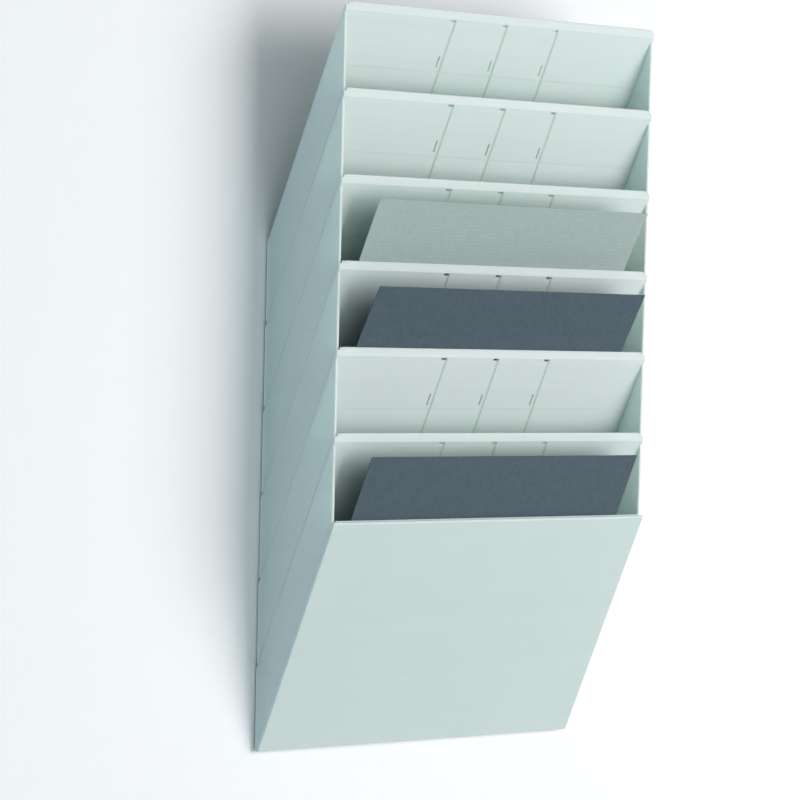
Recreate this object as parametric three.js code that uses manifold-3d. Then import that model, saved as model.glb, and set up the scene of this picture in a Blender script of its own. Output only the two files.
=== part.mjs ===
// Wall rack for landscape charts: six identical slanted pocket trays stacked on a wall, a cover that
// closes the lowest pocket, screws and plugs that hold the trays to the wall, and three loose cards.
// Millimetres. X runs to the right, Y into the wall, Z up. The wall surface is the plane y = 0, and
// the origin is on it, in the middle of the top tray's rear face.
import * as THREE from 'three';
import { mergeVertices } from 'three/addons/utils/BufferGeometryUtils.js';
import Module from 'manifold-3d';

const wasm = await Module();
wasm.setup();

// Rack
const rackDepth = 65;
const panelLean = 22; // degrees from the vertical, top edge away from the wall
const pocketCount = 6;
const pocketPitch = 57.5; // height from one lip to the next
const sideNarrowing = 2; // each outer side comes in by this much from lip to wall

// Mouldings
const panelThickness = 2.2;
const sideWall = 2.2;
const rearWall = 2;
const coverThickness = 2.8;
const lipProud = 1; // the panels' front edges stand this far in front of the side walls
const noseWidth = 1.2; // blunt lower end of a tray's wedge at the wall
const coverNose = 3.8; // and of the cover's
const seatGap = 0.3; // clearance between pieces that rest on each other

// Locating rim on each panel's upper face, which enters the tray above
const rimSideGap = 2.8; // from the rim to the side walls that it stands between
const rimWidth = 2.5;
const rimRise = 1;
const rimBar = 4; // width of the rim along the lip
const rimFoot = 55.5; // the rim's side bars begin this far up the panel from the wall
const cornerNotch = 2; // the lip is this much lower beside the rim's ends
const coverRimDrop = 1; // the cover's rim ends this much lower than a tray's
const coverStep = 1.5; // the cover's own edge ends this much lower than its rim
const coverProud = 1.6; // and stands this far in front of it

// Seats for optional dividers in each panel's lower face
const seatCount = 3;
const seatSpacing = 57.5;
const grooveWidth = 2.1;
const grooveDepth = 0.8;
const grooveShift = 2; // groove and latch slot lie this far either side of the seat's middle
const headSlotWidth = 6;
const headSlotHeight = 1.6;
const headSlotLand = 0.3; // material left between the lip's edge and the head slot
const latchSlotWidth = 1.8;
const latchSlotLength = 8.2;
const latchSlotDrop = 36.8; // from the lip to the middle of the latch slot, along the panel

// Wall fixings
const screwInset = 53; // from the rack's sides at the lips to the screws
const screwHoleGap = 0.5; // round the shank, in the tray's rear wall
const screwShankDiameter = 4.2;
const screwHeadDiameter = 8.6;
const screwHeadHeight = 2.8;
const headShoulderDiameter = 7.9; // where the head's side turns over to its domed top
const headShoulderHeight = 1.7;
const headFlatDiameter = 5.2;
const screwLength = 38;
const screwPoint = 5;
const crossRecessWidth = 1.1;
const crossRecessSpan = 4.4;
const crossRecessDepth = 1.4;
const plugBoreGap = 0.4; // round the shank, in the plug
const plugWall = 1;
const plugLength = 32;
const plugSink = 2.5; // mouth of the plug below the wall's surface
const plugRibCount = 5;
const plugRibRise = 0.5;
const roundSides = 20;

// Cards: thick A4 sheets laid across the rack, 210 mm tall with the part that stands in the pocket
const cardWidth = 297;
const cardRoom = 22.3; // free width between a card and the side walls at the lips
const cardStandOut = 44.7; // shows above the lip
const cardThickness = 0.5;
const cardBendRadius = 120;
const cardBendSteps = 5;
const cards = [
  { pocket: pocketCount - 3, shift: -2.5, droop: 2.4, color: 0xaabdb9 },
  { pocket: pocketCount - 2, shift: -3, droop: 4.4, color: 0x58687a },
  { pocket: pocketCount, shift: -3.5, droop: 0, color: 0x58687a },
];

// Directions and lengths that follow from the sizes above
const rackWidth = cardWidth + 2 * (cardRoom + sideWall);
const rimInset = sideWall + rimSideGap;
const lean = THREE.MathUtils.degToRad(panelLean);
const slopeLength = rackDepth / Math.sin(lean); // a panel's upper face, from wall to front plane
const lipHeight = rackDepth / Math.tan(lean); // a lip above the wall line of its own panel
const panelStep = pocketPitch * Math.sin(lean); // square distance from panel to panel
const overrun = rackDepth; // tools reach past what they cut by this much
const far = 2 * (rackWidth + rackDepth + pocketPitch);

// Closed solid from a three.js geometry, for joining and cutting
function solid(geometry) {
  geometry.deleteAttribute('normal');
  geometry.deleteAttribute('uv');
  const merged = mergeVertices(geometry);
  const vertProperties = new Float32Array(merged.attributes.position.array);
  const triVerts = new Uint32Array(merged.index.array);
  const mesh = new wasm.Mesh({ numProp: 3, vertProperties, triVerts });
  return new wasm.Manifold(mesh);
}

function geometryOf(manifold) {
  const mesh = manifold.getMesh();
  const geometry = new THREE.BufferGeometry();
  geometry.setAttribute('position', new THREE.BufferAttribute(new Float32Array(mesh.vertProperties), 3));
  geometry.setIndex(new THREE.BufferAttribute(new Uint32Array(mesh.triVerts), 1));
  geometry.computeVertexNormals();
  return geometry;
}

function boxBetween(low, high) {
  const geometry = new THREE.BoxGeometry(high[0] - low[0], high[1] - low[1], high[2] - low[2]);
  geometry.translate((low[0] + high[0]) / 2, (low[1] + high[1]) / 2, (low[2] + high[2]) / 2);
  return solid(geometry);
}

// Everything with y and z between the given values
function layer(yFrom, yTo, zFrom, zTo) {
  return boxBetween([-far, yFrom, zFrom], [far, yTo, zTo]);
}

// Slope frame of a panel: x across, s up the slope from the wall line, n square out of its lower face
function slab(shape, fromN, toN) {
  const geometry = new THREE.ExtrudeGeometry(shape, { depth: toN - fromN, bevelEnabled: false });
  geometry.translate(0, 0, fromN);
  geometry.rotateX(Math.PI / 2 + lean);
  return solid(geometry);
}

function halfWidthAt(s) {
  return rackWidth / 2 - sideNarrowing * (1 - s / slopeLength);
}

// Four-cornered outline in the slope frame that follows the narrowing sides
function outline(leftOf, rightOf, fromS, toS) {
  const shape = new THREE.Shape();
  shape.moveTo(leftOf(fromS), fromS);
  shape.lineTo(rightOf(fromS), fromS);
  shape.lineTo(rightOf(toS), toS);
  shape.lineTo(leftOf(toS), toS);
  shape.closePath();
  return shape;
}

function acrossOutline(inset, fromS, toS) {
  const right = (s) => halfWidthAt(s) - inset;
  const left = (s) => -right(s);
  return outline(left, right, fromS, toS);
}

function barOutline(side, inset, width, fromS, toS) {
  const outer = (s) => side * (halfWidthAt(s) - inset);
  const inner = (s) => side * (halfWidthAt(s) - inset - width);
  return side > 0 ? outline(inner, outer, fromS, toS) : outline(outer, inner, fromS, toS);
}

function uprightOutline(x, width, fromS, toS) {
  return outline(() => x - width / 2, () => x + width / 2, fromS, toS);
}

// Raised rim round the upper end of a panel, fused a little way into the panel
function locatingRim(topZ) {
  const fuse = panelThickness / 2;
  const slopeEnd = slopeLength + overrun;
  let rim = slab(acrossOutline(rimInset, slopeLength - rimBar, slopeEnd), -rimRise, fuse);
  for (const side of [-1, 1]) {
    const bar = barOutline(side, rimInset, rimWidth, rimFoot, slopeEnd);
    rim = rim.add(slab(bar, -rimRise, fuse));
  }
  return rim.intersect(layer(-rackDepth, far, -far, topZ));
}

// The two places beside the rim's ends where the lip is lower
function cornerNotches() {
  const inner = rackWidth / 2 - rimInset;
  const low = lipHeight - cornerNotch;
  const left = boxBetween([-far, -far, low], [-inner, far, far]);
  const right = boxBetween([inner, -far, low], [far, far, far]);
  return left.add(right);
}

function dividerSeats() {
  const lipEdge = slopeLength - panelThickness / Math.tan(lean);
  const headTop = lipEdge - headSlotLand;
  const latchMiddle = slopeLength - latchSlotDrop;
  const pocketFoot = (rearWall - panelThickness * Math.cos(lean)) / Math.sin(lean);
  const below = panelThickness + overrun;
  const cuts = [];
  for (let i = 0; i < seatCount; i += 1) {
    const middle = (i - (seatCount - 1) / 2) * seatSpacing;
    const head = uprightOutline(middle, headSlotWidth, headTop - headSlotHeight, headTop);
    const groove = uprightOutline(middle + grooveShift, grooveWidth, pocketFoot, headTop);
    const latch = uprightOutline(middle - grooveShift, latchSlotWidth,
      latchMiddle - latchSlotLength / 2, latchMiddle + latchSlotLength / 2);
    cuts.push(slab(head, -overrun, below));
    cuts.push(slab(groove, panelThickness - grooveDepth, below));
    cuts.push(slab(latch, -overrun, below));
  }
  return cuts.reduce((joined, cut) => joined.add(cut));
}

// A round bar or bore square to the wall
function roundAlongY(radius, yFrom, yTo, x, z) {
  const geometry = new THREE.CylinderGeometry(radius, radius, yTo - yFrom, roundSides);
  geometry.translate(x, (yFrom + yTo) / 2, z);
  return solid(geometry);
}

const shankRadius = screwShankDiameter / 2;
const screwX = [screwInset - rackWidth / 2, rackWidth / 2 - screwInset];
const screwZ = -pocketPitch / 2; // below the wall line of the tray's own panel

// One tray: slanted panel, two side walls and the rear wall that lies on the wall of the room
function trayGeometry() {
  const wallEdge = panelStep - seatGap;
  const tip = -wallEdge / Math.sin(lean);
  const block = slab(acrossOutline(0, -far, far), 0, wallEdge);
  const hollow = slab(acrossOutline(sideWall, -far, far), panelThickness, wallEdge + overrun);
  const pocket = hollow.intersect(layer(-far, -rearWall, -far, far));
  const beside = slab(acrossOutline(-overrun, -far, far), panelThickness, wallEdge + overrun);
  const setBack = beside.intersect(layer(-far, lipProud - rackDepth, -far, far));
  const noseLow = tip + noseWidth / Math.tan(lean);
  let tray = block.subtract(pocket).subtract(setBack);
  tray = tray.intersect(layer(-rackDepth, 0, noseLow, lipHeight));
  tray = tray.add(locatingRim(lipHeight)).subtract(cornerNotches()).subtract(dividerSeats());
  for (const x of screwX) {
    tray = tray.subtract(roundAlongY(shankRadius + screwHoleGap, -rearWall - lipProud, overrun, x, screwZ));
  }
  return geometryOf(tray);
}

// The cover: a plain panel with the same rim, which closes the lowest pocket
function coverGeometry() {
  const tip = -coverThickness / Math.sin(lean);
  const noseLow = tip + coverNose / Math.tan(lean);
  const rimTop = lipHeight - coverRimDrop;
  let cover = slab(acrossOutline(0, -far, far), 0, coverThickness);
  cover = cover.intersect(layer(-rackDepth - coverProud, 0, noseLow, rimTop - coverStep));
  cover = cover.add(locatingRim(rimTop)).subtract(cornerNotches());
  return geometryOf(cover);
}

// Pan-head screw on the Y axis, point at +Y; y = 0 is under its head
function screwGeometry() {
  const profile = [
    new THREE.Vector2(0, -screwHeadHeight),
    new THREE.Vector2(headFlatDiameter / 2, -screwHeadHeight),
    new THREE.Vector2(headShoulderDiameter / 2, -headShoulderHeight),
    new THREE.Vector2(screwHeadDiameter / 2, 0),
    new THREE.Vector2(shankRadius, 0),
    new THREE.Vector2(shankRadius, screwLength - screwPoint),
    new THREE.Vector2(0, screwLength),
  ];
  let screw = solid(new THREE.LatheGeometry(profile, roundSides));
  const halfSpan = crossRecessSpan / 2;
  const halfWidth = crossRecessWidth / 2;
  const recessFloor = crossRecessDepth - screwHeadHeight;
  const top = -screwHeadHeight - overrun;
  screw = screw.subtract(boxBetween([-halfSpan, top, -halfWidth], [halfSpan, recessFloor, halfWidth]));
  screw = screw.subtract(boxBetween([-halfWidth, top, -halfSpan], [halfWidth, recessFloor, halfSpan]));
  return geometryOf(screw);
}

// Ribbed wall plug on the Y axis, a tube with its mouth at y = 0
function plugGeometry() {
  const bore = shankRadius + plugBoreGap;
  const outer = bore + plugWall;
  const ribPitch = plugLength / plugRibCount;
  const profile = [new THREE.Vector2(bore, 0)];
  for (let i = 0; i < plugRibCount; i += 1) {
    profile.push(new THREE.Vector2(outer, i * ribPitch));
    profile.push(new THREE.Vector2(outer - plugRibRise, (i + 1) * ribPitch));
  }
  profile.push(new THREE.Vector2(bore, plugLength));
  profile.push(new THREE.Vector2(bore, 0));
  return geometryOf(solid(new THREE.LatheGeometry(profile, roundSides)));
}

// A card lies on the panel below it at the wall end and on that panel's rim at the lip, with its foot
// against the rear wall. Past the lip it droops forwards by its own angle.
const cardTilt = Math.atan(rimRise / slopeLength);
const cardLean = lean - cardTilt;

function cardGeometry(card) {
  const droop = THREE.MathUtils.degToRad(card.droop);
  const backN = -seatGap - cardThickness;
  const footS = (rearWall + seatGap - backN * Math.cos(cardLean)) / Math.sin(cardLean);
  const afterBend = cardStandOut - droop * cardBendRadius;
  const turns = [];
  for (let i = 0; i <= cardBendSteps; i += 1) {
    turns.push((droop * i) / cardBendSteps);
  }
  // Points of one face of the card from foot to top, at distance n from the panel
  const face = (n) => {
    const radius = cardBendRadius - n;
    const points = [new THREE.Vector2(footS, n)];
    for (const turn of droop > 0 ? turns : []) {
      const s = slopeLength + radius * Math.sin(turn);
      points.push(new THREE.Vector2(s, cardBendRadius - radius * Math.cos(turn)));
    }
    const topS = slopeLength + radius * Math.sin(droop) + afterBend * Math.cos(droop);
    const topN = cardBendRadius - radius * Math.cos(droop) + afterBend * Math.sin(droop);
    points.push(new THREE.Vector2(topS, topN));
    return points;
  };
  const shape = new THREE.Shape([...face(backN), ...face(-seatGap).reverse()]);
  const geometry = new THREE.ExtrudeGeometry(shape, { depth: cardWidth, bevelEnabled: false });
  const up = new THREE.Vector3(0, -Math.sin(cardLean), Math.cos(cardLean));
  const out = new THREE.Vector3(0, -Math.cos(cardLean), -Math.sin(cardLean));
  const across = new THREE.Vector3(1, 0, 0);
  geometry.applyMatrix4(new THREE.Matrix4().makeBasis(up, out, across));
  geometry.translate(card.shift - cardWidth / 2, 0, 0);
  return geometryOf(solid(geometry));
}

const plasticMaterial = new THREE.MeshStandardMaterial({ color: 0xd3dedb, roughness: 0.42, metalness: 0 });
const steelMaterial = new THREE.MeshStandardMaterial({ color: 0xb9bcc0, roughness: 0.35, metalness: 1 });
const nylonMaterial = new THREE.MeshStandardMaterial({ color: 0x9a9d9f, roughness: 0.6, metalness: 0 });

function cardMaterial(color) {
  return new THREE.MeshStandardMaterial({ color, roughness: 0.8, metalness: 0 });
}

const rack = new THREE.Group();

function place(name, geometry, material, x, y, z) {
  const mesh = new THREE.Mesh(geometry, material);
  mesh.name = name;
  mesh.position.set(x, y, z);
  rack.add(mesh);
}

// Height of the wall line of a panel, counted from the top tray's as 0
function wallLine(index) {
  return pocketPitch / 2 - index * pocketPitch;
}

const trayShape = trayGeometry();
for (let i = 0; i < pocketCount; i += 1) {
  place(`pocket_tray_${i + 1}`, trayShape, plasticMaterial, 0, 0, wallLine(i));
}
place('front_cover', coverGeometry(), plasticMaterial, 0, 0, wallLine(pocketCount));

for (const card of cards) {
  place(`chart_card_${card.pocket}`, cardGeometry(card), cardMaterial(card.color), 0, 0, wallLine(card.pocket));
}

// The top and the bottom tray are screwed to the wall, each at its left and right hole
const screwShape = screwGeometry();
const plugShape = plugGeometry();
const screwedTrays = [['top', 0], ['bottom', pocketCount - 1]];
for (const [level, index] of screwedTrays) {
  const z = wallLine(index) + screwZ;
  place(`wall_screw_${level}_left`, screwShape, steelMaterial, screwX[0], -rearWall - seatGap, z);
  place(`wall_screw_${level}_right`, screwShape, steelMaterial, screwX[1], -rearWall - seatGap, z);
  place(`wall_plug_${level}_left`, plugShape, nylonMaterial, screwX[0], plugSink, z);
  place(`wall_plug_${level}_right`, plugShape, nylonMaterial, screwX[1], plugSink, z);
}

export default rack;
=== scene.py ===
"""Wall rack for landscape charts: six slanted pocket trays, a front cover, wall fixings and three cards."""

import math

import bmesh
import bpy
from mathutils import Matrix, Vector


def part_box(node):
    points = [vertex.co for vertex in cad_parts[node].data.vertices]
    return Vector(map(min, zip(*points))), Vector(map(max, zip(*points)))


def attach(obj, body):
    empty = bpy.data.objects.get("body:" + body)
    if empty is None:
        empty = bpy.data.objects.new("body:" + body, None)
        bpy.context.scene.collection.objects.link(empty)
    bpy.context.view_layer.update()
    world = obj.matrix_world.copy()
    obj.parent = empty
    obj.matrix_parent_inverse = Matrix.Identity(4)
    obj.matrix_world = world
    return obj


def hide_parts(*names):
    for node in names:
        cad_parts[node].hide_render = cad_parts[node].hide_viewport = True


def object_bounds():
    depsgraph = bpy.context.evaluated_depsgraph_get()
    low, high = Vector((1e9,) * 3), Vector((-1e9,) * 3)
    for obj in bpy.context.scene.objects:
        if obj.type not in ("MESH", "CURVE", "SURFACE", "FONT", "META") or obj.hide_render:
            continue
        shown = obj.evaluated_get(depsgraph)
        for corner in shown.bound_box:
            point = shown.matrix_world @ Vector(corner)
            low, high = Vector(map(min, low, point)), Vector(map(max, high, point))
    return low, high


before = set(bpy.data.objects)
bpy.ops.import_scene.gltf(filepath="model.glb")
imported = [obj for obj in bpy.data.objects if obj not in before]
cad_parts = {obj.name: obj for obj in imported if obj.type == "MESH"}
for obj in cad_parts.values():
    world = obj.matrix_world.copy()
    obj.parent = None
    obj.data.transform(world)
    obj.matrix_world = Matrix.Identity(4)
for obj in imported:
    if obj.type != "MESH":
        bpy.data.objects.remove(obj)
cad_low, cad_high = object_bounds()
scene = bpy.context.scene

# Pocket trays
# Six identical injection mouldings in pale satin plastic: a slanted panel, two side walls and a rear
# wall that is screwed to the wall of the room. The panel of the next tray down closes each one.
tray_low, tray_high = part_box("pocket_tray_1")
tray_nodes = [name for name in sorted(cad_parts) if name.startswith("pocket_tray_")]
tray_pitch = tray_high.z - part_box("pocket_tray_2")[1].z
half_width = tray_high.x
rack_depth = -tray_low.y
panel_lean = math.radians(22)
slope_length = rack_depth / math.sin(panel_lean)
lip_height = rack_depth / math.tan(panel_lean)
side_narrowing = 0.002
wall_thickness = 0.0022
seat_gap = 0.0003
lip_proud = 0.001
nose_width = 0.0012
edge_round = 0.0004
edge_steps = 2

# How far a cutter runs past what it cuts, and how near lengths and directions have to be to count as one
past = 0.05
nearly = 0.00001
facing = 0.99
flat_angle = math.radians(0.2)

# Directions of a panel: across, up its slope and square out of its front face
across = Vector((1, 0, 0))
uphill = Vector((0, -math.sin(panel_lean), math.cos(panel_lean)))
outward = Vector((0, -math.cos(panel_lean), -math.sin(panel_lean)))
slope_frame = Matrix((across, uphill, outward)).transposed().to_4x4()


def wall_line(node):
    """Height at which the upper face of a tray's or cover's panel meets the wall."""
    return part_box(node)[1].z - lip_height


def half_width_at(y, z):
    """Half the width of the rack, which narrows a little from the lip to the wall."""
    up_slope = Vector((0, y, z)).dot(uphill)
    return half_width - side_narrowing * (1 - up_slope / slope_length)


def trim(bm, point, direction):
    """Cuts away what lies beyond a plane and closes the cut."""
    everything = bm.verts[:] + bm.edges[:] + bm.faces[:]
    bmesh.ops.bisect_plane(bm, geom=everything, plane_co=point, plane_no=direction, clear_outer=True)
    open_edges = [edge for edge in bm.edges if edge.is_boundary]
    bmesh.ops.holes_fill(bm, edges=open_edges, sides=0)
    loose_edges = [edge for edge in bm.edges if edge.is_wire]
    bmesh.ops.delete(bm, geom=loose_edges, context="EDGES")


def round_edges(bm, edges, radius, segments):
    bmesh.ops.bevel(bm, geom=edges, offset=radius, offset_type="OFFSET", segments=segments, profile=0.5,
                    affect="EDGES", material=-1, clamp_overlap=False)


def outer_edges(bm):
    """Long edges that stand out between two faces that meet at a clear angle."""
    clear_angle = math.radians(50)
    shortest = 0.004
    return [edge for edge in bm.edges if edge.is_convex
            and edge.calc_length() > shortest and edge.calc_face_angle(0) > clear_angle]


def tidy(bm):
    """Merges what coincides and joins faces that lie in one plane."""
    bmesh.ops.remove_doubles(bm, verts=bm.verts[:], dist=nearly)
    bmesh.ops.dissolve_limit(bm, angle_limit=flat_angle, verts=bm.verts[:], edges=bm.edges[:])


def add_slope_box(bm, x_range, slope_range, out_range):
    """Adds a box given by its ranges across, up the slope and square out of the panel."""
    ranges = (x_range, slope_range, out_range)
    size = Vector([high - low for low, high in ranges])
    middle = Vector([(high + low) / 2 for low, high in ranges])
    place = slope_frame @ Matrix.Translation(middle) @ Matrix.Diagonal(size).to_4x4()
    bmesh.ops.create_cube(bm, size=1, matrix=place)


def as_mesh(bm, name):
    mesh = bpy.data.meshes.new(name)
    bm.to_mesh(mesh)
    bm.free()
    return mesh


def combine(mesh, tool, operation):
    """The first mesh after the tool mesh is joined to it (UNION) or cut from it (DIFFERENCE)."""
    blank = bpy.data.objects.new("blank", mesh)
    cutter = bpy.data.objects.new("cutter", tool)
    scene.collection.objects.link(blank)
    scene.collection.objects.link(cutter)
    modifier = blank.modifiers.new("combine", "BOOLEAN")
    modifier.operation = operation
    modifier.solver = "EXACT"
    modifier.object = cutter
    shaped = blank.evaluated_get(bpy.context.evaluated_depsgraph_get())
    made = bpy.data.meshes.new_from_object(shaped)
    bpy.data.objects.remove(blank)
    bpy.data.objects.remove(cutter)
    return made


def tray_shell():
    """Panel, side walls and rear wall of one thickness, with the lip proud of the side walls."""
    bm = bmesh.new()
    reach = slope_length + past
    outline = [Vector((0, 0, 0)), uphill * reach]
    outline.append(outline[1] - Vector((0, 0, tray_pitch + past)))
    outline.append(outline[0] - Vector((0, 0, tray_pitch + past)))
    for side in (-1, 1):
        for corner in outline:
            bm.verts.new((side * half_width_at(corner.y, corner.z), corner.y, corner.z))
    bmesh.ops.convex_hull(bm, input=bm.verts[:])
    bmesh.ops.dissolve_limit(bm, angle_limit=flat_angle, verts=bm.verts[:], edges=bm.edges[:])
    mostly = 0.5
    open_sides = [face for face in bm.faces if face.normal.y < -mostly]
    bmesh.ops.delete(bm, geom=open_sides, context="FACES")
    bmesh.ops.solidify(bm, geom=bm.faces[:], thickness=wall_thickness)

    lower_edge = tray_pitch * math.sin(panel_lean) - seat_gap
    nose_low = (nose_width * math.cos(panel_lean) - lower_edge) / math.sin(panel_lean)
    trim(bm, Vector((0, lip_proud - rack_depth, 0)), Vector((0, -1, 0)))
    trim(bm, outward * lower_edge, outward)
    trim(bm, Vector((0, 0, nose_low)), Vector((0, 0, -1)))

    front = [face for face in bm.faces if face.normal.y < -facing]
    front_parts = front + [edge for face in front for edge in face.edges]
    front_parts += [vert for face in front for vert in face.verts]
    bmesh.ops.bisect_plane(bm, geom=list(set(front_parts)), plane_co=outward * wall_thickness,
                           plane_no=outward)
    lip = [face for face in bm.faces if face.normal.y < -facing
           and face.calc_center_median().dot(outward) < wall_thickness]
    grown = bmesh.ops.extrude_face_region(bm, geom=lip)["geom"]
    lip_verts = [part for part in grown if isinstance(part, bmesh.types.BMVert)]
    bmesh.ops.translate(bm, verts=lip_verts, vec=uphill * (lip_proud / math.sin(panel_lean)))
    bmesh.ops.delete(bm, geom=[face for face in lip if face.is_valid], context="FACES_ONLY")
    tidy(bm)
    return as_mesh(bm, "tray_shell")


# Locating rim of a tray or cover: a raised frame along the lip and down both sides of the panel
rim_inset = 0.005
rim_width = 0.0025
rim_rise = 0.001
rim_bar = 0.004
rim_foot = 0.0555
corner_notch = 0.002
notch_width = 0.0028


def locating_rim(rim_top, inset):
    bm = bmesh.new()
    outer = half_width - inset
    inner = outer - rim_width
    rim_end = slope_length + past
    bar_foot = slope_length - rim_bar
    half_outline = [(outer, rim_end), (outer, rim_foot), (inner, rim_foot), (inner, bar_foot)]
    outline = half_outline + [(-x, up_slope) for x, up_slope in reversed(half_outline)]
    corners = [slope_frame @ Vector((x, up_slope, wall_thickness / 2)) for x, up_slope in outline]
    underside = bm.faces.new([bm.verts.new(corner) for corner in corners])
    raised = bmesh.ops.extrude_face_region(bm, geom=[underside])["geom"]
    raised_verts = [part for part in raised if isinstance(part, bmesh.types.BMVert)]
    bmesh.ops.translate(bm, verts=raised_verts, vec=-outward * (wall_thickness / 2 + rim_rise))
    for vert in bm.verts:
        vert.co.x -= math.copysign(half_width - half_width_at(vert.co.y, vert.co.z), vert.co.x)
    bmesh.ops.recalc_face_normals(bm, faces=bm.faces[:])
    trim(bm, Vector((0, -rack_depth, 0)), Vector((0, -1, 0)))
    trim(bm, Vector((0, 0, rim_top)), Vector((0, 0, 1)))
    return as_mesh(bm, "locating_rim")


def corner_notches():
    """Cutters for the steps at both ends of a lip."""
    bm = bmesh.new()
    inner = half_width - notch_width
    for side in (-1, 1):
        low = Vector((side * inner, -2 * rack_depth, lip_height - corner_notch))
        high = Vector((side * (half_width + past), 0, lip_height + past))
        place = Matrix.Translation((low + high) / 2) @ Matrix.Diagonal(high - low).to_4x4()
        bmesh.ops.create_cube(bm, size=1, matrix=place)
    bmesh.ops.recalc_face_normals(bm, faces=bm.faces[:])
    return as_mesh(bm, "corner_notches")


# Seats for dividers in the panel's front face: a groove, a head slot under the lip and a latch slot
seat_count = 3
seat_spacing = 0.0575
groove_width = 0.0026
groove_depth = 0.0003
groove_shift = 0.002
head_slot_width = 0.006
head_slot_height = 0.0016
head_slot_land = 0.0006
latch_slot_width = 0.0018
latch_slot_length = 0.0082
latch_slot_drop = 0.0368
head_slot_top = slope_length - wall_thickness / math.tan(panel_lean) - head_slot_land
seat_middles = [(index - (seat_count - 1) / 2) * seat_spacing for index in range(seat_count)]

# Fine line across the panel, left by a joint in the mould
tool_line_drop = 0.0442
tool_line_width = 0.0006
tool_line_depth = 0.00025
tool_line_end_gap = 0.003
tool_line_clearance = 0.002


def seat_slots():
    """Cutters for the head slots and latch slots, right through the panel."""
    bm = bmesh.new()
    for middle in seat_middles:
        latch = middle - groove_shift
        add_slope_box(bm, (middle - head_slot_width / 2, middle + head_slot_width / 2),
                      (head_slot_top - head_slot_height, head_slot_top), (-past, past))
        add_slope_box(bm, (latch - latch_slot_width / 2, latch + latch_slot_width / 2),
                      (slope_length - latch_slot_drop - latch_slot_length / 2,
                       slope_length - latch_slot_drop + latch_slot_length / 2), (-past, past))
    return as_mesh(bm, "seat_slots")


def seat_grooves():
    bm = bmesh.new()
    for middle in seat_middles:
        groove = middle + groove_shift
        add_slope_box(bm, (groove - groove_width / 2, groove + groove_width / 2),
                      (wall_thickness, head_slot_top), (wall_thickness - groove_depth, past))
    return as_mesh(bm, "seat_grooves")


def tool_line():
    bm = bmesh.new()
    middle = slope_length - tool_line_drop
    line_end = half_width - wall_thickness - tool_line_end_gap
    add_slope_box(bm, (-line_end, line_end),
                  (middle - tool_line_width / 2, middle + tool_line_width / 2),
                  (wall_thickness - tool_line_depth, wall_thickness + tool_line_clearance))
    return as_mesh(bm, "tool_line")


# Screw holes in the rear wall
screw_left, screw_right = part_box("wall_screw_top_left"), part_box("wall_screw_top_right")
screw_places = [(low.x + high.x) / 2 for low, high in (screw_left, screw_right)]
screw_hole_radius = 0.0026
screw_hole_sides = 32
screw_hole_reach = 0.02


def screw_holes():
    bm = bmesh.new()
    for x in screw_places:
        place = Matrix.Translation((x, 0, -tray_pitch / 2)) @ Matrix.Rotation(math.pi / 2, 4, "X")
        bmesh.ops.create_cone(bm, cap_ends=True, segments=screw_hole_sides, radius1=screw_hole_radius,
                              radius2=screw_hole_radius, depth=screw_hole_reach, matrix=place)
    return as_mesh(bm, "screw_holes")


def moulded_grain():
    """Shader group for moulded plastic: soft mottling, faint flow streaks and a fine grain."""
    group = bpy.data.node_groups.new("moulded_grain", "ShaderNodeTree")
    for name, default in (("Mottle Scale", 9.0), ("Grain Scale", 1400.0)):
        socket = group.interface.new_socket(name, in_out="INPUT", socket_type="NodeSocketFloat")
        socket.default_value = default
    for name in ("Mottle", "Streak", "Height"):
        group.interface.new_socket(name, in_out="OUTPUT", socket_type="NodeSocketFloat")
    nodes, links = group.nodes, group.links
    inputs = nodes.new("NodeGroupInput")
    outputs = nodes.new("NodeGroupOutput")
    place = nodes.new("ShaderNodeTexCoord")
    mottle = nodes.new("ShaderNodeTexNoise")
    mottle.inputs["Detail"].default_value = 4
    links.new(place.outputs["Object"], mottle.inputs["Vector"])
    links.new(inputs.outputs["Mottle Scale"], mottle.inputs["Scale"])
    stretch = nodes.new("ShaderNodeMapping")
    stretch.inputs["Scale"].default_value = (4, 60, 260)
    links.new(place.outputs["Object"], stretch.inputs["Vector"])
    streak = nodes.new("ShaderNodeTexNoise")
    streak.inputs["Scale"].default_value = 1
    streak.inputs["Detail"].default_value = 3
    links.new(stretch.outputs["Vector"], streak.inputs["Vector"])
    grain = nodes.new("ShaderNodeTexNoise")
    grain.inputs["Detail"].default_value = 2
    links.new(place.outputs["Object"], grain.inputs["Vector"])
    links.new(inputs.outputs["Grain Scale"], grain.inputs["Scale"])
    links.new(mottle.outputs["Fac"], outputs.inputs["Mottle"])
    links.new(streak.outputs["Fac"], outputs.inputs["Streak"])
    links.new(grain.outputs["Fac"], outputs.inputs["Height"])
    return group


grain_group = moulded_grain()


def mixed_colour(nodes, links, factor, low, high):
    """A colour that runs from low to high with a factor socket."""
    mix = nodes.new("ShaderNodeMix")
    mix.data_type = "RGBA"
    mix.inputs["A"].default_value = (*low, 1)
    mix.inputs["B"].default_value = (*high, 1)
    links.new(factor, mix.inputs["Factor"])
    return mix.outputs["Result"]


def ranged(nodes, links, value, low, high):
    """A value that runs from low to high while its source runs over the middle of a noise."""
    span = nodes.new("ShaderNodeMapRange")
    span.inputs["From Min"].default_value = 0.3
    span.inputs["From Max"].default_value = 0.7
    span.inputs["To Min"].default_value = low
    span.inputs["To Max"].default_value = high
    links.new(value, span.inputs["Value"])
    return span.outputs["Result"]


def bump(nodes, links, height, strength, distance):
    node = nodes.new("ShaderNodeBump")
    node.inputs["Strength"].default_value = strength
    node.inputs["Distance"].default_value = distance
    links.new(height, node.inputs["Height"])
    return node.outputs["Normal"]


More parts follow.
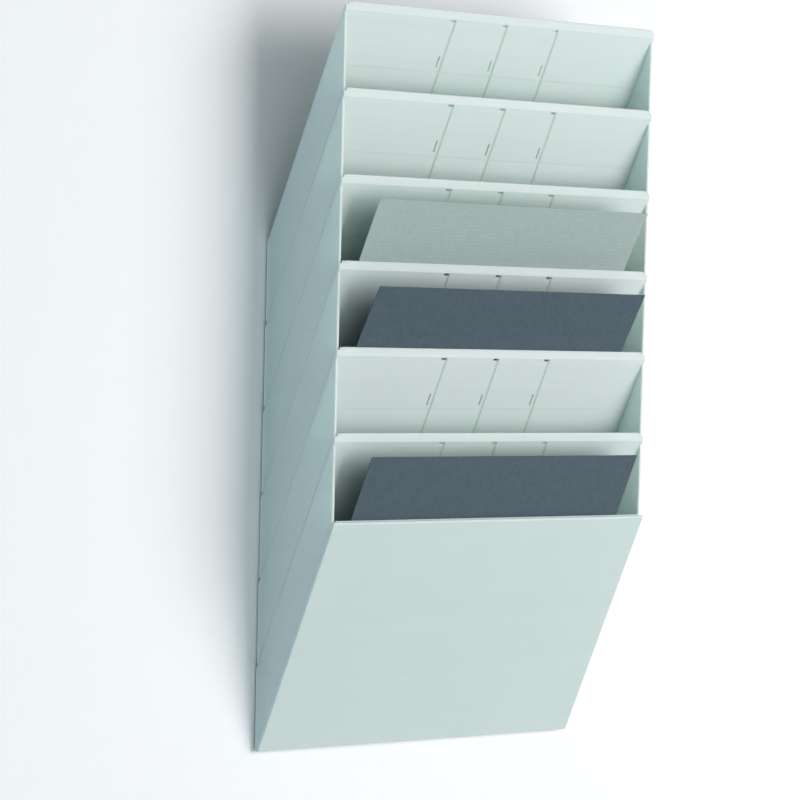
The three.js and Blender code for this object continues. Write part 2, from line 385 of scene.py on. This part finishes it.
def multiplied(nodes, links, colour):
    """A mix node that multiplies a colour socket by its own colour B, as far as its factor says."""
    mix = nodes.new("ShaderNodeMix")
    mix.data_type = "RGBA"
    mix.blend_type = "MULTIPLY"
    links.new(colour, mix.inputs["A"])
    return mix


# Finish of the plastic: its darkest streaks, a painted greenish shade on the groove floors, its gloss and
# its grain
streak_shade = (0.975, 0.98, 0.98)
no_shade = (1, 1, 1)
groove_shade_tint = (0.82, 0.88, 0.81, 1)
plastic_roughness = (0.4, 0.48)
grain_strength = 0.08
grain_depth = 0.0002


def satin_plastic(name, dark, light):
    """Pale grey-green satin plastic, a little uneven in colour and gloss, that lets some light through."""
    material = bpy.data.materials.new(name)
    material.use_nodes = True
    nodes, links = material.node_tree.nodes, material.node_tree.links
    shader = nodes["Principled BSDF"]
    shader.inputs["IOR"].default_value = 1.5
    shader.inputs["Subsurface Weight"].default_value = 1.0
    shader.inputs["Subsurface Radius"].default_value = (1.0, 1.0, 0.88)
    shader.inputs["Subsurface Scale"].default_value = 0.0026
    grain = nodes.new("ShaderNodeGroup")
    grain.node_tree = grain_group
    tint = mixed_colour(nodes, links, ranged(nodes, links, grain.outputs["Mottle"], 0, 1), dark, light)
    streak = ranged(nodes, links, grain.outputs["Streak"], 0, 1)
    streaked = multiplied(nodes, links, tint)
    streaked.inputs["Factor"].default_value = 1
    links.new(mixed_colour(nodes, links, streak, streak_shade, no_shade), streaked.inputs["B"])
    # Painted shade: the groove floors are multiplied darker and greener, for the light that comes through
    # the thin plastic there.
    thin = nodes.new("ShaderNodeAttribute")
    thin.attribute_name = "thin"
    groove_shaded = multiplied(nodes, links, streaked.outputs["Result"])
    groove_shaded.inputs["B"].default_value = groove_shade_tint
    links.new(thin.outputs["Fac"], groove_shaded.inputs["Factor"])
    roughness = ranged(nodes, links, grain.outputs["Streak"], *plastic_roughness)
    normal = bump(nodes, links, grain.outputs["Height"], grain_strength, grain_depth)
    links.new(groove_shaded.outputs["Result"], shader.inputs["Base Color"])
    links.new(roughness, shader.inputs["Roughness"])
    links.new(normal, shader.inputs["Normal"])
    return material


# The trays and the cover are one plastic. The trays' colour is a little lighter than the cover's: painted
# light for what bounces inside the pockets.
tray_plastic = satin_plastic("tray_plastic", (0.77, 0.875, 0.84), (0.79, 0.885, 0.855))


def place_piece(name, mesh, material, body, node):
    """A finished piece, made of one material, that stands for a node and rides on its body."""
    piece = bpy.data.objects.new(name, mesh)
    scene.collection.objects.link(piece)
    mesh.materials.clear()
    mesh.materials.append(material)
    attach(piece, body)
    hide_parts(node)


def rounded(mesh, radius):
    """The mesh with its outer edges rounded."""
    bm = bmesh.new()
    bm.from_mesh(mesh)
    tidy(bm)
    round_edges(bm, outer_edges(bm), radius, edge_steps)
    tidy(bm)
    return as_mesh(bm, mesh.name)


def mark_thin(mesh):
    """Marks the floors of the grooves for a painted shade, darker and greener, as where light comes through
    the thinner plastic.
    """
    thin = mesh.attributes.new("thin", "FLOAT", "FACE")
    floor_out = wall_thickness - groove_depth
    for face in mesh.polygons:
        if face.normal.dot(outward) > facing and abs(face.center.dot(outward) - floor_out) < nearly:
            thin.data[face.index].value = 1


tray_mesh = combine(tray_shell(), locating_rim(lip_height, rim_inset), "UNION")
tray_mesh = combine(tray_mesh, corner_notches(), "DIFFERENCE")
tray_mesh = rounded(tray_mesh, edge_round)
tray_mesh = combine(tray_mesh, seat_slots(), "DIFFERENCE")
tray_mesh = combine(tray_mesh, seat_grooves(), "DIFFERENCE")
tray_mesh = combine(tray_mesh, tool_line(), "DIFFERENCE")
tray_mesh = combine(tray_mesh, screw_holes(), "DIFFERENCE")
mark_thin(tray_mesh)
for number, node in enumerate(tray_nodes, 1):
    mesh = tray_mesh.copy()
    mesh.transform(Matrix.Translation((0, 0, wall_line(node))))
    place_piece(f"tray_moulding_{number}", mesh, tray_plastic, "rack", node)

# Front cover
# A plain moulded panel in the same plastic that closes the lowest pocket, given a painted shade: a little
# darker than the trays'. It has a rim like the trays', a rounded upper edge in front of the rim, and the
# mark of its injection gate in the middle.
cover_thickness = 0.0028
cover_rim_drop = 0.001
cover_rim_inset = 0.0026
cover_step = 0.0008
cover_proud = 0.0016
cover_nose = 0.0038
cover_edge_round = 0.0008
cover_edge_steps = 4
cover_wall_line = wall_line(tray_nodes[-1]) - tray_pitch
gate_radius = 0.0011
gate_sides = 24
gate_depth = 0.00025


def cover_panel():
    bm = bmesh.new()
    add_slope_box(bm, (-half_width, half_width), (-past, slope_length + past), (0, cover_thickness))
    for vert in bm.verts:
        vert.co.x = math.copysign(half_width_at(vert.co.y, vert.co.z), vert.co.x)
    nose_low = (cover_nose * math.cos(panel_lean) - cover_thickness) / math.sin(panel_lean)
    edge_top = lip_height - cover_rim_drop - cover_step
    trim(bm, Vector((0, -rack_depth - cover_proud, 0)), Vector((0, -1, 0)))
    trim(bm, Vector((0, 0, edge_top)), Vector((0, 0, 1)))
    trim(bm, Vector((0, 0, 0)), Vector((0, 1, 0)))
    trim(bm, Vector((0, 0, nose_low)), Vector((0, 0, -1)))
    tidy(bm)
    upper_edge = [edge for edge in outer_edges(bm)
                  if all(vert.co.z > edge_top - nearly and vert.co.y < -rack_depth for vert in edge.verts)]
    round_edges(bm, upper_edge, cover_edge_round, cover_edge_steps)
    front_from = cover_thickness / 4
    front_edges = [edge for edge in outer_edges(bm)
                   if all(vert.co.dot(outward) > front_from for vert in edge.verts)]
    round_edges(bm, front_edges, edge_round, edge_steps)
    tidy(bm)
    return as_mesh(bm, "cover_panel")


def gate_mark():
    bm = bmesh.new()
    middle = slope_frame @ Vector((0, slope_length / 2, cover_thickness))
    place = Matrix.Translation(middle) @ slope_frame
    bmesh.ops.create_cone(bm, cap_ends=True, segments=gate_sides, radius1=gate_radius,
                          radius2=gate_radius, depth=2 * gate_depth, matrix=place)
    return as_mesh(bm, "gate_mark")


cover_rim = locating_rim(lip_height - cover_rim_drop, cover_rim_inset)
cover_mesh = combine(cover_panel(), cover_rim, "UNION")
cover_mesh = combine(cover_mesh, gate_mark(), "DIFFERENCE")
cover_mesh.transform(Matrix.Translation((0, 0, cover_wall_line)))
# The same plastic as the trays, coloured a little darker as painted shade.
shaded_cover_plastic = satin_plastic("shaded_cover_plastic", (0.715, 0.835, 0.805), (0.735, 0.85, 0.82))
place_piece("cover_moulding", cover_mesh, shaded_cover_plastic, "rack", "front_cover")

# Cards
# Loose sheets of thick A4 card laid across, one pale and ribbed, two slate. Each stands with its foot
# against the rear wall and rests on the rim of the panel below it. Two of them bend forwards past it.
card_width = 0.297
card_height = 0.21
card_thickness = 0.0005
card_bend_radius = 0.12
card_lean = panel_lean - math.atan(rim_rise / slope_length)
card_up = Vector((0, -math.sin(card_lean), math.cos(card_lean)))
card_out = Vector((0, -math.cos(card_lean), -math.sin(card_lean)))
rear_wall = 0.002
card_rows = 160
card_columns = 24
rib_height = 0.00005


def card_mesh(name, shift, droop_left, droop_right, foot_line, ribbed):
    """A thin sheet that bends forwards past the lip, by its own angle at each end."""
    bm = bmesh.new()
    grid_half = 0.5
    bmesh.ops.create_grid(bm, x_segments=card_columns, y_segments=card_rows, size=grid_half)
    middle_out = -seat_gap - card_thickness / 2
    rear_out = middle_out - card_thickness / 2
    foot = (rear_wall + seat_gap - rear_out * math.cos(card_lean)) / math.sin(card_lean)
    for vert in bm.verts:
        share_across = vert.co.x + grid_half
        share_up = vert.co.y + grid_half
        row = round(share_up * card_rows)
        droop = math.radians(droop_left + (droop_right - droop_left) * share_across)
        along = foot + share_up * card_height
        beyond = max(along - slope_length, 0)
        turn = math.copysign(min(beyond / card_bend_radius, abs(droop)), droop)
        straight = beyond - abs(turn) * card_bend_radius
        up = min(along, slope_length) + card_bend_radius * math.sin(abs(turn)) + straight * math.cos(turn)
        out = middle_out + math.copysign(card_bend_radius * (1 - math.cos(turn)), turn)
        out += straight * math.sin(turn)
        if ribbed and row % 2:
            out += rib_height
        vert.co = Vector((shift + vert.co.x * card_width, 0, foot_line)) + card_up * up + card_out * out
    bmesh.ops.recalc_face_normals(bm, faces=bm.faces[:])
    bmesh.ops.solidify(bm, geom=bm.faces[:], thickness=card_thickness)
    return as_mesh(bm, name)


def paper_fibre():
    """Shader group for card: cloudy colour, and a fine crossed fibre as height."""
    group = bpy.data.node_groups.new("paper_fibre", "ShaderNodeTree")
    for name in ("Cloud", "Fibre"):
        group.interface.new_socket(name, in_out="OUTPUT", socket_type="NodeSocketFloat")
    nodes, links = group.nodes, group.links
    outputs = nodes.new("NodeGroupOutput")
    place = nodes.new("ShaderNodeTexCoord")
    cloud = nodes.new("ShaderNodeTexNoise")
    cloud.inputs["Scale"].default_value = 240
    cloud.inputs["Detail"].default_value = 5
    links.new(place.outputs["Object"], cloud.inputs["Vector"])
    threads = []
    for scale in ((120, 900, 900), (900, 120, 120)):
        stretch = nodes.new("ShaderNodeMapping")
        stretch.inputs["Scale"].default_value = scale
        links.new(place.outputs["Object"], stretch.inputs["Vector"])
        thread = nodes.new("ShaderNodeTexNoise")
        thread.inputs["Scale"].default_value = 1
        links.new(stretch.outputs["Vector"], thread.inputs["Vector"])
        threads.append(thread.outputs["Fac"])
    cross = nodes.new("ShaderNodeMath")
    cross.operation = "MAXIMUM"
    links.new(threads[0], cross.inputs[0])
    links.new(threads[1], cross.inputs[1])
    links.new(cloud.outputs["Fac"], outputs.inputs["Cloud"])
    links.new(cross.outputs["Value"], outputs.inputs["Fibre"])
    return group


fibre_group = paper_fibre()
card_roughness = (0.6, 0.75)
fibre_strength = 0.15
fibre_depth = 0.0002


def card_material(name, dark, light):
    material = bpy.data.materials.new(name)
    material.use_nodes = True
    nodes, links = material.node_tree.nodes, material.node_tree.links
    shader = nodes["Principled BSDF"]
    fibre = nodes.new("ShaderNodeGroup")
    fibre.node_tree = fibre_group
    colour = mixed_colour(nodes, links, ranged(nodes, links, fibre.outputs["Cloud"], 0, 1), dark, light)
    roughness = ranged(nodes, links, fibre.outputs["Fibre"], *card_roughness)
    normal = bump(nodes, links, fibre.outputs["Fibre"], fibre_strength, fibre_depth)
    links.new(colour, shader.inputs["Base Color"])
    links.new(roughness, shader.inputs["Roughness"])
    links.new(normal, shader.inputs["Normal"])
    return material


pale_card = card_material("pale_card", (0.40, 0.50, 0.475), (0.44, 0.54, 0.51))
slate_card = card_material("slate_card", (0.047, 0.085, 0.114), (0.064, 0.102, 0.132))

# Node, body, material, slot, shift to the side, bend past the lip in degrees (left end, right end), ribs
card_list = [
    ("chart_card_3", "card_3", pale_card, "pale_card", -0.0025, 0.6, 4.2, True),
    ("chart_card_4", "card_4", slate_card, "slate_card", -0.003, 4.0, 4.8, False),
    ("chart_card_6", "card_6", slate_card, "slate_card", -0.0035, 0.0, 0.0, False),
]
for node, body, material, slot, shift, droop_left, droop_right, ribbed in card_list:
    pocket = int(node.rsplit("_", 1)[1])
    foot_line = wall_line(tray_nodes[0]) - pocket * tray_pitch
    mesh = card_mesh(f"{node}_sheet", shift, droop_left, droop_right, foot_line, ribbed)
    place_piece(f"{node}_sheet", mesh, material, body, node)

# Wall fixings
# Four zinc-plated pan-head screws in ribbed grey nylon plugs, through the rear walls of the top and
# bottom trays.
fixing_mottle_scale = 300
fixing_grain_scale = 4000
fixing_grain_strength = 0.1
fixing_grain_depth = 0.0001


def fixing_material(name, dark, light, metallic, rough_low, rough_high):
    material = bpy.data.materials.new(name)
    material.use_nodes = True
    nodes, links = material.node_tree.nodes, material.node_tree.links
    shader = nodes["Principled BSDF"]
    shader.inputs["Metallic"].default_value = metallic
    grain = nodes.new("ShaderNodeGroup")
    grain.node_tree = grain_group
    grain.inputs["Mottle Scale"].default_value = fixing_mottle_scale
    grain.inputs["Grain Scale"].default_value = fixing_grain_scale
    colour = mixed_colour(nodes, links, ranged(nodes, links, grain.outputs["Mottle"], 0, 1), dark, light)
    roughness = ranged(nodes, links, grain.outputs["Mottle"], rough_low, rough_high)
    normal = bump(nodes, links, grain.outputs["Height"], fixing_grain_strength, fixing_grain_depth)
    links.new(colour, shader.inputs["Base Color"])
    links.new(roughness, shader.inputs["Roughness"])
    links.new(normal, shader.inputs["Normal"])
    return material


screw_zinc = fixing_material("screw_zinc", (0.45, 0.46, 0.47), (0.62, 0.63, 0.65), 1.0, 0.25, 0.4)
plug_nylon = fixing_material("plug_nylon", (0.28, 0.29, 0.3), (0.34, 0.35, 0.36), 0.0, 0.45, 0.6)
for name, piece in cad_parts.items():
    if name.startswith(("wall_screw_", "wall_plug_")):
        piece.data.materials.clear()
        piece.data.materials.append(screw_zinc if "screw" in name else plug_nylon)

# Room
# A plain pale wall that the rack hangs on, with the fine gap that a screwed-on rack leaves, and a pale
# floor well below it. The wall shows from the front only, and lets light through to the rack's rear.


def plane(name, corners):
    bm = bmesh.new()
    face = bm.faces.new([bm.verts.new(corner) for corner in corners])
    face.normal_update()
    made = bpy.data.objects.new(name, as_mesh(bm, name))
    scene.collection.objects.link(made)
    return made


room_reach = 6.0
wall_gap = 0.001
floor_level = -1.4
wall = plane("room_wall", [
    (-room_reach, wall_gap, floor_level), (room_reach, wall_gap, floor_level),
    (room_reach, wall_gap, room_reach), (-room_reach, wall_gap, room_reach)])
floor = plane("room_floor", [
    (-room_reach, -room_reach, floor_level), (room_reach, -room_reach, floor_level),
    (room_reach, room_reach, floor_level), (-room_reach, room_reach, floor_level)])


def math_node(nodes, links, operation, first, second):
    """The result of an operation on a socket and another socket or a plain number."""
    node = nodes.new("ShaderNodeMath")
    node.operation = operation
    links.new(first, node.inputs[0])
    if isinstance(second, bpy.types.NodeSocket):
        links.new(second, node.inputs[1])
    else:
        node.inputs[1].default_value = second
    return node.outputs["Value"]


def seen_directly(nodes, links, path):
    """One for rays that show a thing to the camera, directly, in a gloss or through glass."""
    seen = path.outputs["Is Camera Ray"]
    for name in ("Is Glossy Ray", "Is Transmission Ray"):
        seen = math_node(nodes, links, "MAXIMUM", seen, path.outputs[name])
    return seen


# The wall's colour where it is seen and where it only sends light back. Rays from the rack's rear pass
# through it: they are short, and have bounced once at most.
seen_white = (1.2, 1.2, 1.2)
unseen_grey = (0.65, 0.65, 0.65)
short_ray = 0.0022
few_bounces = 1.5


def wall_paint():
    material = bpy.data.materials.new("wall_paint")
    material.use_nodes = True
    nodes, links = material.node_tree.nodes, material.node_tree.links
    nodes.clear()
    out = nodes.new("ShaderNodeOutputMaterial")
    path = nodes.new("ShaderNodeLightPath")
    paint = nodes.new("ShaderNodeBsdfDiffuse")
    seen = seen_directly(nodes, links, path)
    links.new(mixed_colour(nodes, links, seen, unseen_grey, seen_white), paint.inputs["Color"])
    clear = nodes.new("ShaderNodeBsdfTransparent")
    side = nodes.new("ShaderNodeNewGeometry")
    near = math_node(nodes, links, "LESS_THAN", path.outputs["Ray Length"], short_ray)
    early = math_node(nodes, links, "LESS_THAN", path.outputs["Ray Depth"], few_bounces)
    near_and_early = math_node(nodes, links, "MINIMUM", near, early)
    passing = math_node(nodes, links, "MAXIMUM", side.outputs["Backfacing"], near_and_early)
    mix = nodes.new("ShaderNodeMixShader")
    links.new(passing, mix.inputs["Fac"])
    links.new(paint.outputs["BSDF"], mix.inputs[1])
    links.new(clear.outputs["BSDF"], mix.inputs[2])
    links.new(mix.outputs["Shader"], out.inputs["Surface"])
    return material


def floor_paint():
    material = bpy.data.materials.new("floor_paint")
    material.use_nodes = True
    shader = material.node_tree.nodes["Principled BSDF"]
    shader.inputs["Base Color"].default_value = (0.8, 0.8, 0.8, 1)
    shader.inputs["Roughness"].default_value = 0.9
    return material


wall.data.materials.append(wall_paint())
floor.data.materials.append(floor_paint())

# Light
# One large soft lamp from the front right, which throws the rack's shadow to the left on the wall,
# two weak ones from the front left and from the left along the wall, one behind the wall for the
# rack's rear, and an even pale surround.
rack_middle = (cad_low + cad_high) / 2


def soft_lamp(name, place, width, height, energy, colour):
    """A wide lamp that faces the middle of the rack."""
    lamp = bpy.data.lights.new(name, "AREA")
    lamp.shape = "RECTANGLE"
    lamp.size = width
    lamp.size_y = height
    lamp.energy = energy
    lamp.color = colour
    made = bpy.data.objects.new(name, lamp)
    made.location = place
    made.rotation_euler = (rack_middle - made.location).to_track_quat("-Z", "Y").to_euler()
    scene.collection.objects.link(made)


white = (1, 1, 1)
cool_white = (0.9, 1, 1)
sky_blue = (0.48, 0.82, 1)
soft_lamp("key_light", place=(2.3, -3.35, 0.2), width=4.4, height=3.6, energy=138, colour=white)
soft_lamp("front_light", place=(-1.93, -2.3, -0.06), width=2.0, height=2.4, energy=3, colour=cool_white)
soft_lamp("side_light", place=(-2.4, -0.36, -0.1), width=0.5, height=2.0, energy=9, colour=sky_blue)
soft_lamp("rear_light", place=(1.4, 2.9, 0.5), width=2.4, height=2.4, energy=50, colour=white)

world = bpy.data.worlds.new("surround")
world.use_nodes = True
scene.world = world
nodes, links = world.node_tree.nodes, world.node_tree.links
surround = nodes["Background"]
surround.inputs["Color"].default_value = (0.87, 0.96, 1.0, 1)
surround.inputs["Strength"].default_value = 0.15
backdrop = nodes.new("ShaderNodeBackground")
backdrop.inputs["Color"].default_value = (0.96, 0.96, 0.96, 1)
path = nodes.new("ShaderNodeLightPath")
mix = nodes.new("ShaderNodeMixShader")
links.new(seen_directly(nodes, links, path), mix.inputs["Fac"])
links.new(surround.outputs["Background"], mix.inputs[1])
links.new(backdrop.outputs["Background"], mix.inputs[2])
links.new(mix.outputs["Shader"], nodes["World Output"].inputs["Surface"])
scene.view_settings.view_transform = "Standard"

# Camera
# A long lens from the front left, a little above the middle of the rack's height, tilted slightly down
# and turned a little about its own axis.
camera_data = bpy.data.cameras.new("camera")
camera_data.sensor_width = 36
camera_data.lens = 238.9
camera = bpy.data.objects.new("camera", camera_data)
camera_yaw = math.radians(51.112)
camera_pitch = math.radians(-0.967)
camera_roll = math.radians(1.521)
camera_place = (-2.8908, -2.3118, -0.0151)
aim = Matrix.Rotation(-camera_yaw, 4, "Z") @ Matrix.Rotation(math.pi / 2 + camera_pitch, 4, "X")
aim = aim @ Matrix.Rotation(camera_roll, 4, "Z")
camera.matrix_world = Matrix.Translation(camera_place) @ aim
scene.collection.objects.link(camera)
scene.camera = camera
